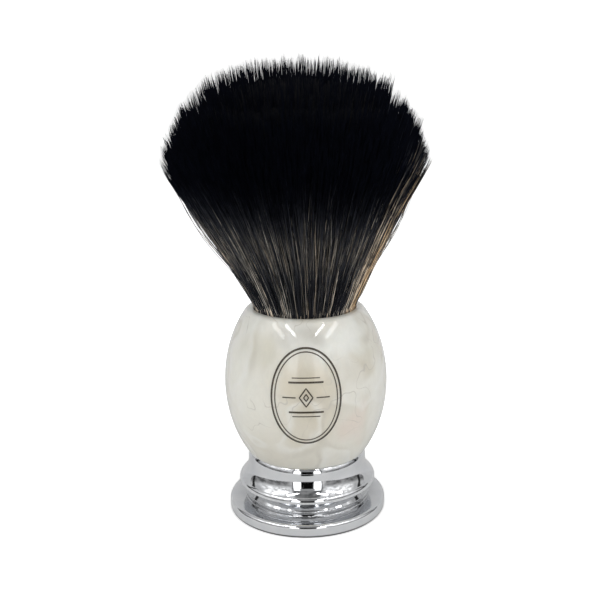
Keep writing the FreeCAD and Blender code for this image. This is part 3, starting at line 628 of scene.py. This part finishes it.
full, outermost = (3300, 1700) if FINE else (1650, 850)
tuft_pieces = [
    bundle("bristles_inner", 1, full, None, 0.0, 0.60),
    bundle("bristles_middle", 7, full, None, 0.55, 0.86),
    bundle("bristles_front", 2, full, (-135, -45), 0.72, 0.985),
    bundle("bristles_right", 3, full, (-45, 45), 0.72, 0.985),
    bundle("bristles_back", 4, full, (45, 135), 0.72, 0.985),
    bundle("bristles_left", 5, full, (135, 225), 0.72, 0.985),
    bundle("bristles_outer", 6, outermost, None, 0.965, 1.045, fringe=True),
]
core = bristle_core()
for piece in [*tuft_pieces, core]:
    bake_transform(piece)
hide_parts("bristle_tuft")
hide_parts("bristle_root")


# ------------------------------------------------------------ the printed mark
# the handle's barrel is an ellipse turned about the axis
BARREL_RADIUS = 19.4
BARREL_MIDDLE = 32.3
BARREL_HALF = 25.4
INK_LOW, INK_HIGH = 0.012, 0.05  # underside and top of the ink above the barrel
OVAL_MIDDLE = 34.0
MARK_MIDDLE = 34.2  # height of the lozenges and the rules beside them


def on_barrel(across, z, lift):
    """A point so far round to the right of the front, z high, lifted off the surface."""
    rise = (z - BARREL_MIDDLE) / BARREL_HALF
    shrink = math.sqrt(1.0 - rise ** 2)
    radius = BARREL_RADIUS * shrink
    slope = BARREL_RADIUS / BARREL_HALF * rise / shrink
    normal = math.hypot(1.0, slope)
    lifted, height = radius + lift / normal, z + lift * slope / normal
    angle = -math.pi / 2 + across / radius
    return (lifted * math.cos(angle) * MM, lifted * math.sin(angle) * MM, height * MM)


def ribbons(name, lines, material):
    """Flat printed lines on the barrel. Each line is (points, width, closed)."""
    points, faces = [], []
    for line, width, closed in lines:
        line = np.array(line, float)
        count = len(line)
        if closed:
            ahead, behind = np.roll(line, -1, 0), np.roll(line, 1, 0)
        else:
            ahead, behind = np.vstack([line[1:], line[-1:]]), np.vstack([line[:1], line[:-1]])
        tangent = ahead - behind
        tangent /= np.linalg.norm(tangent, axis=1, keepdims=True)
        sideways = np.stack([-tangent[:, 1], tangent[:, 0]], 1)
        base = len(points)
        for middle, side in zip(line, sideways):
            one, other = middle + side * width / 2, middle - side * width / 2
            for edge, lift in ((one, INK_LOW), (other, INK_LOW),
                               (other, INK_HIGH), (one, INK_HIGH)):
                points.append(on_barrel(edge[0], edge[1], lift))
        for i in range(count if closed else count - 1):
            here, after = base + 4 * i, base + 4 * ((i + 1) % count)
            for k in range(4):
                turn = (k + 1) % 4
                faces.append((here + k, here + turn, after + turn, after + k))
        if not closed:
            faces.append((base + 3, base + 2, base + 1, base))
            end = base + 4 * (count - 1)
            faces.append((end, end + 1, end + 2, end + 3))
    obj = mesh_object(name, points, faces, material, soft=False)
    edit = bmesh.new()
    edit.from_mesh(obj.data)
    bmesh.ops.recalc_face_normals(edit, faces=edit.faces)
    edit.to_mesh(obj.data)
    edit.free()
    return obj


def oval(half_width, half_height, count=96):
    angles = [2 * math.pi * k / count for k in range(count)]
    return [(half_width * math.cos(a), OVAL_MIDDLE + half_height * math.sin(a)) for a in angles]


def lozenge(half_width, half_height, steps=6):
    corners = [(half_width, MARK_MIDDLE), (0, MARK_MIDDLE + half_height),
               (-half_width, MARK_MIDDLE), (0, MARK_MIDDLE - half_height)]
    return [(x + (next_x - x) * i / steps, z + (next_z - z) * i / steps)
            for (x, z), (next_x, next_z) in zip(corners, corners[1:] + corners[:1])
            for i in range(steps)]


def rule(start, end, z, count=12):
    return [(start + (end - start) * i / (count - 1), z) for i in range(count)]


mark_lines = [
    (oval(7.9, 10.9), 0.42, True),
    (oval(7.1, 10.1), 0.24, True),
    (lozenge(1.5, 2.1), 0.3, True),
    (lozenge(0.55, 0.8), 0.26, True),
    (rule(2.3, 5.3, MARK_MIDDLE), 0.26, False),
    (rule(-5.3, -2.3, MARK_MIDDLE), 0.26, False),
]
# a broad rule with a thin shorter one outside it, above and below the lozenges
for side in (1, -1):
    mark_lines.append((rule(-3.9, 3.9, MARK_MIDDLE + side * 3.4), 0.42, False))
    mark_lines.append((rule(-3.1, 3.1, MARK_MIDDLE + side * 4.4), 0.2, False))
mark = ribbons("printed_mark", mark_lines, ink())
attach(mark, "handle")


# ------------------------------------------------------------------ the stage
STAGE_SIZE = 1.6   # half width, reach to the front and backdrop height
BEND_START = 0.55  # y where the floor starts to curve up
BEND_RADIUS = 0.35
BEND_STEPS = 12


def plain(name, grey, rough, seen=None):
    """A plain stage surface. seen is a glow that only the camera sees."""
    look = Look(name)
    tone = look.ramp(look.noise(None, scale=3.0, detail=2.0),
                     [(0.3, grey * 0.995), (0.7, grey)])
    look.surface(Base_Color=tone, Roughness=rough, Specular_IOR_Level=0.1,
                 Emission_Color=(1, 1, 1, 1), Emission_Strength=0.0)
    if seen is not None:
        camera_ray = look.node("ShaderNodeLightPath").outputs["Is Camera Ray"]
        look.surface(Emission_Strength=look.remap(camera_ray, high=seen))
    return look.material


def studio_sweep():
    """A pale floor that curves up into a backdrop behind the brush."""
    rows = [(-STAGE_SIZE, 0.0), (BEND_START, 0.0)]
    for k in range(1, BEND_STEPS + 1):
        angle = math.radians(90 * k / BEND_STEPS)
        rows.append((BEND_START + BEND_RADIUS * math.sin(angle),
                     BEND_RADIUS * (1 - math.cos(angle))))
    rows.append((BEND_START + BEND_RADIUS, STAGE_SIZE))
    points = [(x, y, z) for y, z in rows for x in (-STAGE_SIZE, STAGE_SIZE)]
    faces = [(2 * i, 2 * i + 1, 2 * i + 3, 2 * i + 2) for i in range(len(rows) - 1)]
    return mesh_object("studio_sweep", points, faces,
                       plain("studio_white", grey=0.86, rough=0.7, seen=0.55))


def shade_strip():
    """A dark strip of floor in front, unseen itself but mirrored in the chrome."""
    outline = [(-0.0105, -0.058), (0.0105, -0.058), (0.062, -0.31), (-0.062, -0.31)]
    strip = mesh_object("shade_strip", [(x, y, 0.0003) for x, y in outline], [(3, 2, 1, 0)],
                        plain("shade_strip_look", grey=0.003, rough=0.9))
    strip.visible_camera = False
    strip.visible_shadow = False
    strip.visible_diffuse = False
    return strip


studio_sweep()
shade_strip()

AIM = Vector((0, 0, 0.045))  # the point all the lamps face


def bearing(azimuth, elevation, distance):
    """A place seen from the aim. Azimuth 0 is the camera's side, positive to the right."""
    a, e = math.radians(azimuth), math.radians(elevation)
    return AIM + distance * Vector(
        (math.sin(a) * math.cos(e), -math.cos(a) * math.cos(e), math.sin(e)))


def area(name, first, second, distance, width, radiance, glossy=True):
    """A light panel whose long side runs between two bearings (azimuth, elevation)."""
    start, end = bearing(*first, distance), bearing(*second, distance)
    place, along = (start + end) / 2, end - start
    toward = (AIM - place).normalized()
    up = (along - toward * along.dot(toward)).normalized()
    right = up.cross(-toward)
    light = bpy.data.lights.new(name, "AREA")
    light.shape = "RECTANGLE"
    light.size, light.size_y = width, along.length
    light.energy = radiance * math.pi * width * along.length
    obj = bpy.data.objects.new(name, light)
    axes = Matrix((right, up, -toward)).transposed().to_4x4()
    obj.matrix_world = Matrix.Translation(place) @ axes
    obj.visible_glossy = glossy
    scene.collection.objects.link(obj)


# on each side a thin lamp bar high in front, a broader fainter one outside it, and a
# large soft fill that isn't mirrored in the chrome
for side, word in ((-1, "left"), (1, "right")):
    area("lamp_bar_" + word, (side * 19, 41), (side * 44, 49),
         distance=0.6, width=0.032, radiance=13.0)
    area("outer_bar_" + word, (side * 38, 36), (side * 73, 42),
         distance=0.62, width=0.05, radiance=4.0)
    area("fill_" + word, (side * 72, -4), (side * 72, 30),
         distance=0.8, width=0.5, radiance=0.75, glossy=False)

# ------------------------------------------------------------------ the world
# what the chrome mirrors: an unevenly lit tent with the camera in its opening
world = bpy.data.worlds.new("studio")
scene.world = world
world.use_nodes = True
tent = Graph(world.node_tree)
background = tent.tree.nodes.get("Background")
background.inputs["Strength"].default_value = 1.0

direction = tent.node("ShaderNodeTexCoord").outputs["Generated"]
parts = tent.node("ShaderNodeSeparateXYZ", {0: direction}).outputs
to_front = tent.calc("MULTIPLY", parts["Y"], -1.0)
DEGREES = 180 / math.pi
azimuth = tent.calc("MULTIPLY", tent.calc("ARCTAN2", parts["X"], to_front), DEGREES)
elevation = tent.calc("MULTIPLY", tent.calc("ARCSINE", parts["Z"]), DEGREES)
aside = tent.calc("ABSOLUTE", azimuth)


def window(value, low, high, soft):
    """1 between low and high, with soft edges."""
    up = tent.remap(value, start=low - soft, end=low + soft, curve="SMOOTHSTEP")
    down = tent.remap(value, start=high + soft, end=high - soft, curve="SMOOTHSTEP")
    return tent.calc("MULTIPLY", up, down)


def mottle(scale, detail, low, high, shift=0.0):
    """A light level that varies in clouds between low and high."""
    place = direction
    if shift:
        place = tent.node("ShaderNodeMapping", {
            "Location": (shift, shift * 0.7, -shift), "Vector": direction}).outputs[0]
    clouds = tent.noise(place, scale=scale, detail=detail)
    return tent.remap(clouds, start=0.35, end=0.65, low=low, high=high)


level = mottle(scale=3.0, detail=3.0, low=0.40, high=0.66)
# each window sets a new level: what is measured across, its range, the range of
# elevations, softness of the edges (all in degrees), the level
for across, widths, heights, soft, amount in [
    (aside, (34, 150), (-20, 15), 6.0, mottle(5.0, 3.0, low=0.08, high=0.34, shift=3.0)),
    (aside, (32, 92), (22, 54), 7.0, mottle(7.0, 4.0, low=0.45, high=1.5, shift=7.0)),
    (aside, (-1, 29), (20, 64), 2.5, mottle(4.0, 3.0, low=0.07, high=0.26, shift=5.0)),
    (aside, (12, 26), (-30, 33), 1.2, 1.8),
    (aside, (-1, 14), (25, 33), 1.2, 0.32),
    (aside, (26.4, 27.8), (-30, 33), 0.5, 0.03),
    (aside, (-1, 11.6), (-30, 25), 0.7, 0.003),
    (azimuth, (-115, -109), (-30, 42), 1.0, 0.02),
    (azimuth, (104, 110), (-30, 42), 1.0, 0.02),
]:
    mask = tent.calc("MULTIPLY", window(across, *widths, soft),
                     window(elevation, *heights, soft))
    blended = tent.node("ShaderNodeMix", {0: mask, 2: level, 3: amount}, data_type="FLOAT")
    level = blended.outputs[0]
# the camera itself sees plain white beyond the backdrop
camera_ray = tent.node("ShaderNodeLightPath").outputs["Is Camera Ray"]
seen = tent.node("ShaderNodeMix", {0: camera_ray, 2: level, 3: 1.0}, data_type="FLOAT")
feed(background.inputs["Color"], seen.outputs[0])

scene.view_settings.view_transform = "Standard"
scene.view_settings.look = "None"
scene.view_settings.exposure = 0.0
scene.view_settings.gamma = 1.0

# ----------------------------------------------------------------- the camera
CAMERA_PLACE = Vector((0, -206.23 * MM, 101.875 * MM))
PITCH = 0.2388  # downward, in radians
ROLL = math.radians(-0.81)

lens = bpy.data.cameras.new("camera")
lens.lens = 53.91
lens.sensor_width = 36.0
lens.shift_x = -0.00790
lens.clip_start = 0.01
lens.clip_end = 20.0
camera = bpy.data.objects.new("camera", lens)
turn = Matrix.Rotation(math.pi / 2 - PITCH, 4, "X") @ Matrix.Rotation(ROLL, 4, "Z")
camera.matrix_world = Matrix.Translation(CAMERA_PLACE) @ turn
scene.collection.objects.link(camera)
scene.camera = camera
